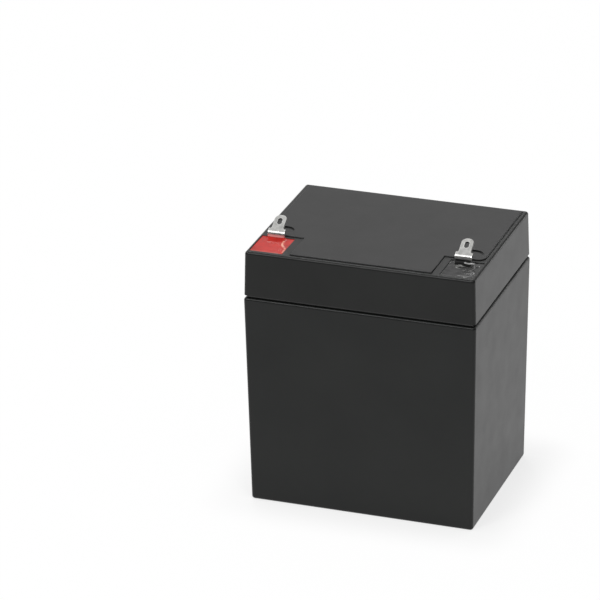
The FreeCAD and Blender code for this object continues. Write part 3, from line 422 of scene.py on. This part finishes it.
def dress(finishes):
    """Each CAD node takes the finish of its own name, or of its name's stem."""
    for name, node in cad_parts.items():
        stem = max((key for key in finishes if name.startswith(key)), key=len)
        for slot in node.material_slots:
            slot.material = finishes[stem]


# ---------------------------------------------------------------- cast resin

# A tab's riser stands at the well's back end: its sheet, its gap to the well, and the height
# over the resin at which its bend starts.
SHEET = 0.8 * MM
RISER_GAP = 0.1 * MM
RISER_RISE = 1.25 * MM
# The resin has shrunk by SINK in the middle, and climbs the walls and the riser.
SINK = 0.12 * MM
WALL_CLIMB, WALL_REACH = 0.10 * MM, 0.7 * MM
RISER_CLIMB, RISER_REACH = 0.55 * MM, 0.35 * MM
GRID_STEP = 0.18 * MM
# Painted glare: a pale colour painted into the resin stands in for glints and reflections. It fades within
# a set reach of
#  the front wall. Elsewhere it is strong along its paths, ends where too little of it is left, and noise
#  tears it.
FRONT_GLARE_REACH = 0.9 * MM
GLARE_GAIN, GLARE_LOSS = 1.6, 0.2
TEAR_LEVEL, TEAR_DEPTH = 0.7, 0.6


def grid_lines(stops):
    """Grid lines from the first stop to the last, one on every stop, none further apart than GRID_STEP."""
    lines = [stops[0]]
    for start, end in zip(stops, stops[1:]):
        count = max(1, math.ceil((end - start) / GRID_STEP))
        lines += [start + (end - start) * i / count for i in range(1, count + 1)]
    return lines


def in_mm(*points):
    return [Vector((x * MM, y * MM)) for x, y in points]


def swell(x, y, path, half_width):
    """1 on a path, falling off to nothing beside it."""
    spot = Vector((x, y))
    nearest = math.inf
    for start, end in zip(path, path[1:]):
        way = end - start
        share = (spot - start).dot(way) / way.length_squared
        nearest = min(nearest, (start + min(max(share, 0), 1) * way - spot).length)
    return math.exp(-(nearest / half_width) ** 2)


def surface(ripple, size, seed, runs):
    """Height over a well, from its front left corner: soft ripples, and runs that set as ridges.

    A run is its path, its half width and its height.
    """
    def height(x, y):
        level = ripple * noise.noise(Vector((x / size, y / size, seed)))
        return level + sum(rise * swell(x, y, path, half_width) for path, half_width, rise in runs)

    return height


def glare_map(size, seed, front_glare, runs):
    """How much pale colour is painted into the resin as glare and glints: along the runs, torn up by noise,
    and at the front wall.

    Each of runs is a glare path: its points, its half width and its strength.
    """
    def cover(x, y):
        ragged = TEAR_LEVEL + TEAR_DEPTH * noise.noise(Vector((x / size, y / size, seed)))
        most = front_glare * math.exp(-(y / FRONT_GLARE_REACH) ** 2)
        for path, half_width, strength in runs:
            glare_here = GLARE_GAIN * swell(x, y, path, half_width) * ragged - GLARE_LOSS
            most = max(most, strength * glare_here)
        return min(most, 1)

    return cover


def make_pour(sign, finish, height, cover):
    """Resin poured into a terminal well: it climbs the walls a little, and the riser stands in it."""
    name = f"resin_{sign}"
    low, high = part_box(name)
    tab_low, tab_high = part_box(f"terminal_{sign}")
    riser = (tab_low.x, tab_high.x, high.y - RISER_GAP - SHEET, high.y - RISER_GAP)
    xs = grid_lines([low.x, riser[0], riser[1], high.x])
    ys = grid_lines([low.y, riser[2], riser[3], high.y])

    def inside_riser(x, y):
        return riser[0] < x < riser[1] and riser[2] < y < riser[3]

    def climb(x, y):
        to_wall = min(x - low.x, high.x - x, y - low.y, high.y - y)
        to_riser = math.hypot(max(riser[0] - x, 0, x - riser[1]), max(riser[2] - y, 0, y - riser[3]))
        wall_edge = WALL_CLIMB * math.exp(-to_wall / WALL_REACH)
        riser_edge = RISER_CLIMB * math.exp(-to_riser / RISER_REACH)
        return max(wall_edge, riser_edge) - SINK

    bm = bmesh.new()
    top = [[bm.verts.new((x, y, high.z + climb(x, y) + height(x - low.x, y - low.y)))
            for x in xs] for y in ys]
    sole = [[bm.verts.new((x, y, low.z)) for x in xs] for y in ys]
    for j in range(len(ys) - 1):
        for i in range(len(xs) - 1):
            if inside_riser((xs[i] + xs[i + 1]) / 2, (ys[j] + ys[j + 1]) / 2):
                continue
            bm.faces.new((top[j][i], top[j][i + 1], top[j + 1][i + 1], top[j + 1][i])).smooth = True
            bm.faces.new((sole[j][i], sole[j + 1][i], sole[j + 1][i + 1], sole[j][i + 1]))
    under = {a: b for row, below in zip(top, sole) for a, b in zip(row, below)}
    rims = [edge for edge in bm.edges if len(edge.link_faces) == 1 and edge.verts[0] in under]
    for edge in rims:
        loop = edge.link_loops[0]
        a, b = loop.vert, loop.link_loop_next.vert
        bm.faces.new((b, a, under[a], under[b]))
    bmesh.ops.delete(bm, geom=[v for v in bm.verts if not v.link_faces], context="VERTS")
    bmesh.ops.recalc_face_normals(bm, faces=bm.faces)
    mesh = bpy.data.meshes.new(f"{name}_pour")
    bm.to_mesh(mesh)
    bm.free()
    # Painted glare: how much the resin's colour is lightened at each point, standing in for glints and
    # reflections.
    covers = mesh.attributes.new("cover", "FLOAT", "POINT")
    for vertex in mesh.vertices:
        covers.data[vertex.index].value = cover(vertex.co.x - low.x, vertex.co.y - low.y)
    mesh.materials.append(finish)
    pour = bpy.data.objects.new(f"{name}_pour", mesh)
    bpy.context.scene.collection.objects.link(pour)
    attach(pour, "root")
    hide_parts(name)


# ---------------------------------------------------------------- the whole scene

make_camera()
make_world()
for lamp_name, (lamp_way, lamp_size, lamp_level) in LAMPS.items():
    make_softbox(lamp_name, lamp_way, lamp_size, lamp_level)
make_floor()

paste_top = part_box("separator_1_1")[1].z - MAT_RISE
bend_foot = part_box("resin_positive")[1].z + RISER_RISE

# The pale colours are painted glare and glints on the resin.
red = make_resin_finish("resin_red", (0.40, 0.010, 0.005), (0.60, 0.020, 0.012), (0.10, 0.22), 1.31,
                        pale=(0.88, 0.40, 0.30))
black = make_resin_finish("resin_black", (0.006, 0.006, 0.006), (0.012, 0.012, 0.012), (0.06, 0.14), 1.36,
                          pale=(0.60, 0.60, 0.60))
dress({
    "container": make_plastic("container_plastic", (0.004, 0.0048, 0.0045), (0.007, 0.0078, 0.0072),
                              (0.34, 0.38), 0.004 * MM, 1.375),
    "lid": make_plastic("lid_plastic", (0.004, 0.0045, 0.004), (0.007, 0.0075, 0.007),
                        (0.32, 0.36), 0.003 * MM, 1.365),
    "top_cover": make_plastic("cover_plastic", (0.004, 0.004, 0.004), (0.008, 0.008, 0.008),
                              (0.32, 0.36), 0.003 * MM, 1.385),
    "lid_seal": make_resin_finish("epoxy", (0.004, 0.004, 0.004), (0.008, 0.008, 0.008), (0.10, 0.25)),
    "resin_positive": red,
    "resin_negative": black,
    # The last colour of each tab is its resin's, painted on the riser as a painted reflection.
    "terminal_positive": make_tin("tinned_tab_positive", bend_foot, (0.80, 0.36, 0.34)),
    "terminal_negative": make_tin("tinned_tab_negative", bend_foot, (0.012, 0.012, 0.012)),
    "vent_cap": make_rubber("cap_rubber", (0.020, 0.020, 0.020), (0.035, 0.035, 0.035)),
    "post_seal": make_rubber("seal_rubber", (0.012, 0.012, 0.012), (0.022, 0.022, 0.022)),
    "positive_group": make_lead("positive_plates", (0.045, 0.020, 0.012), (0.085, 0.040, 0.024), paste_top),
    "negative_group": make_lead("negative_plates", (0.10, 0.105, 0.11), (0.19, 0.195, 0.20), paste_top),
    "separator": make_glass_mat("glass_mat"),
})

# Resin that ran off the end of the pour and set, as ridges. Beside them, at the riser's foot and at the
# front wall, glints and glare are painted pale into the resin's colour.
make_pour("positive", red, surface(0.05 * MM, 3.0 * MM, 0.3, [
    (in_mm((9.0, 13.4), (9.5, 11.0), (10.1, 8.2), (12.1, 5.2), (11.9, 2.4)), 0.95 * MM, 0.22 * MM),
]), glare_map(1.2 * MM, 2.7, 0.3, [
    (in_mm((9.4, 11.6), (9.6, 10.0), (9.8, 8.6), (10.6, 7.2), (12.0, 5.4), (12.4, 4.0), (12.4, 2.0)),
     0.44 * MM, 1.0),
]))
make_pour("negative", black, surface(0.10 * MM, 2.2 * MM, 5.1, [
    (in_mm((9.8, 13.0), (10.6, 11.0), (9.0, 9.0), (6.0, 8.4)), 0.8 * MM, 0.20 * MM),
    (in_mm((8.0, 6.4), (10.6, 5.2), (10.4, 2.8), (12.0, 1.0)), 0.8 * MM, 0.20 * MM),
]), glare_map(1.1 * MM, 4.4, 0.06, [
    (in_mm((5.6, 13.1), (7.2, 12.9), (9.2, 13.4)), 0.34 * MM, 1.1),
    (in_mm((6.6, 1.6), (9.0, 2.0), (11.2, 1.8)), 0.30 * MM, 0.25),
    (in_mm((9.6, 12.0), (10.4, 9.6), (9.6, 7.4), (11.6, 5.0)), 0.26 * MM, 0.20),
]))

bpy.context.scene.view_settings.view_transform = "Standard"
